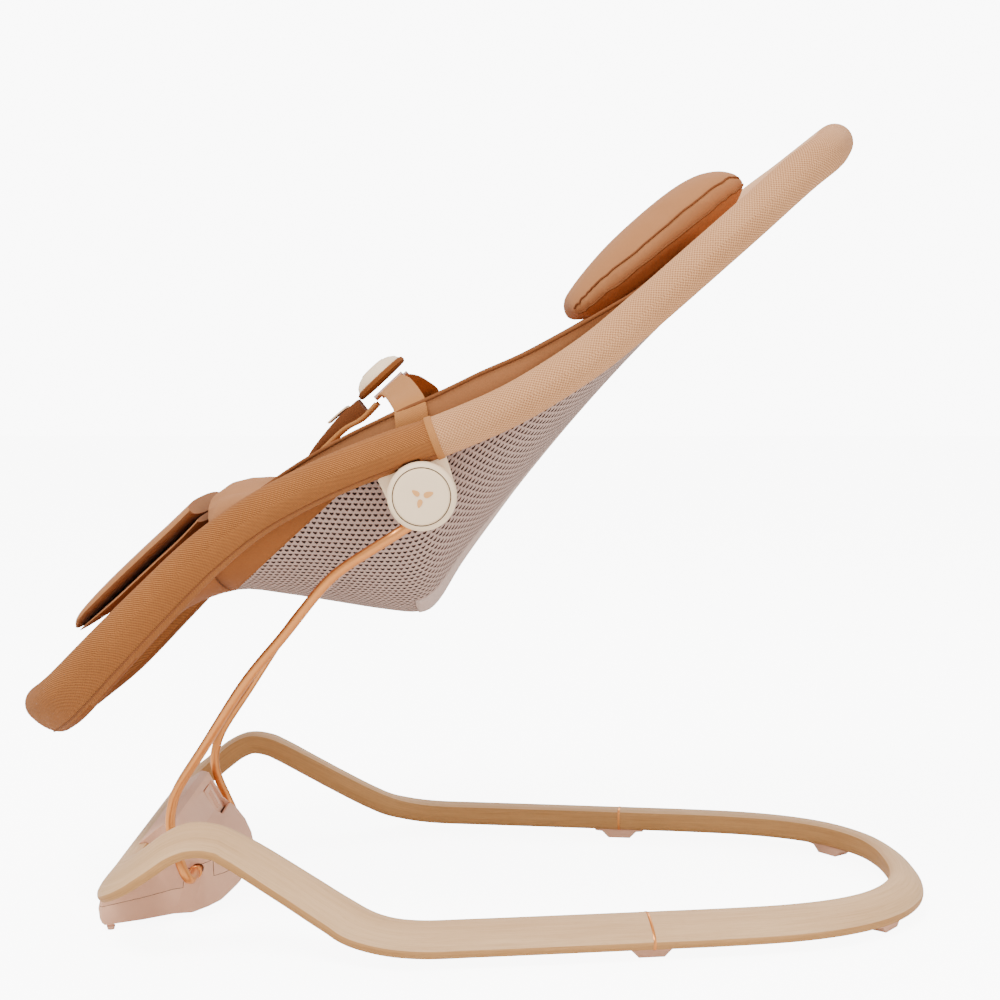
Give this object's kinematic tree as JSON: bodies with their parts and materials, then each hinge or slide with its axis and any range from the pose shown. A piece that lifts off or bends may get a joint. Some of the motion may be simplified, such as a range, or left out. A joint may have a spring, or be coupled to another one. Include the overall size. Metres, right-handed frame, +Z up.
{
  "type": "bouncer seat",
  "caption": "Baby bouncer seat with a bent wooden floor loop, sprung rod legs, reclining ring seat, mesh sling, padded liner, head pillow and harness.",
  "frame": {"origin": "on the floor, under the middle of the object's box", "axes": "+X towards the child's head end, +Y towards the child's right, +Z up"},
  "size_m": [0.7502, 0.4194, 0.6422],
  "materials": {
    "oak": "pale oiled ash or oak, grain along the rail",
    "copper": "polished copper-coloured plating",
    "steel": "plain zinc-plated steel, hidden inside",
    "blush_plastic": "matte moulded, pink-beige",
    "bush_plastic": "plain acetal, hidden inside",
    "rubber": "soft rubber",
    "cream_plastic": "satin moulded, cream",
    "cognac_knit": "ribbed knit over padding, cognac",
    "tan_knit": "ribbed knit over padding, light tan",
    "suede": "brushed jersey, warm brown",
    "mesh": "perforated spacer mesh, grey mauve",
    "webbing": "woven webbing, caramel",
    "rose_metal": "rose-coloured plated metal"
  },
  "bodies": {
    "base": {"front_bow": "oak", "rear_bow": "oak", "joint_band_left": "copper", "joint_band_right": "copper", "joint_dowels": "steel", "housing_upper": "blush_plastic", "housing_lower": "blush_plastic", "housing_screws": "steel", "shaft_bush_left": "bush_plastic", "shaft_bush_right": "bush_plastic", "bounce_spring_left": "steel", "bounce_spring_right": "steel", "glide_pad_mid_left": "blush_plastic", "glide_pad_mid_right": "blush_plastic", "glide_pad_rear_left": "blush_plastic", "glide_pad_rear_right": "blush_plastic", "pad_screws": "steel", "front_feet": "rubber"},
    "legs": {"leg_rod_left": "copper", "leg_rod_right": "copper", "cross_shaft": "steel", "lock_cam": "steel", "leg_hub_left": "cream_plastic", "leg_hub_right": "cream_plastic", "button_spring_left": "steel", "button_spring_right": "steel"},
    "seat": {"ring_tube": "steel", "hub_bracket_left": "cream_plastic", "hub_bracket_right": "cream_plastic", "hub_axle_left": "steel", "hub_axle_right": "steel", "index_plate_left": "steel", "index_plate_right": "steel", "bolster_foot": "cognac_knit", "bolster_head": "tan_knit", "binding_left": "webbing", "binding_right": "webbing", "mesh_sling": "mesh", "foot_panel": "suede", "head_panel": "tan_knit", "inlay": "suede", "leg_flap": "suede", "waist_strap_left": "webbing", "waist_strap_right": "webbing", "crotch_strap": "webbing", "buckle_base": "cream_plastic", "slider_bar_left": "rose_metal", "slider_bar_right": "rose_metal"},
    "recline_button_left": {"recline_button_left": "cream_plastic"},
    "recline_button_right": {"recline_button_right": "cream_plastic"},
    "mode_slide": {"mode_slide": "blush_plastic"},
    "buckle_button": {"buckle_button": "cream_plastic"},
    "head_pillow": {"head_pillow": "suede"}
  },
  "joints": [
    {"name": "bounce", "type": "hinge", "parent": "base", "child": "legs", "pos_m": [-0.222, 0, 0.04], "axis": [0, 1, 0], "range_deg": [-3, 6], "stiffness_Nm_per_rad": 150, "springref_deg": -2.58},
    {"name": "recline", "type": "hinge", "parent": "legs", "child": "seat", "pos_m": [-0.035, 0, 0.35], "axis": [0, 1, 0], "range_deg": [-12, 14]},
    {"name": "button_left_press", "type": "slide", "parent": "legs", "child": "recline_button_left", "axis": [0, 1, 0], "range_m": [0, 0.003], "stiffness_N_per_m": 500, "springref_m": -0.002},
    {"name": "button_right_press", "type": "slide", "parent": "legs", "child": "recline_button_right", "axis": [0, -1, 0], "range_m": [0, 0.003], "stiffness_N_per_m": 500, "springref_m": -0.002},
    {"name": "mode_switch", "type": "slide", "parent": "base", "child": "mode_slide", "axis": [0, 1, 0], "range_m": [0, 0.01]},
    {"name": "buckle_press", "type": "slide", "parent": "seat", "child": "buckle_button", "axis": [0.682, 0, -0.7314], "range_m": [0, 0.003], "stiffness_N_per_m": 500, "springref_m": -0.002},
    {"name": "pillow_slide", "type": "slide", "parent": "seat", "child": "head_pillow", "axis": [0.7837, 0, 0.6211], "range_m": [-0.012, 0.02]}
  ]
}
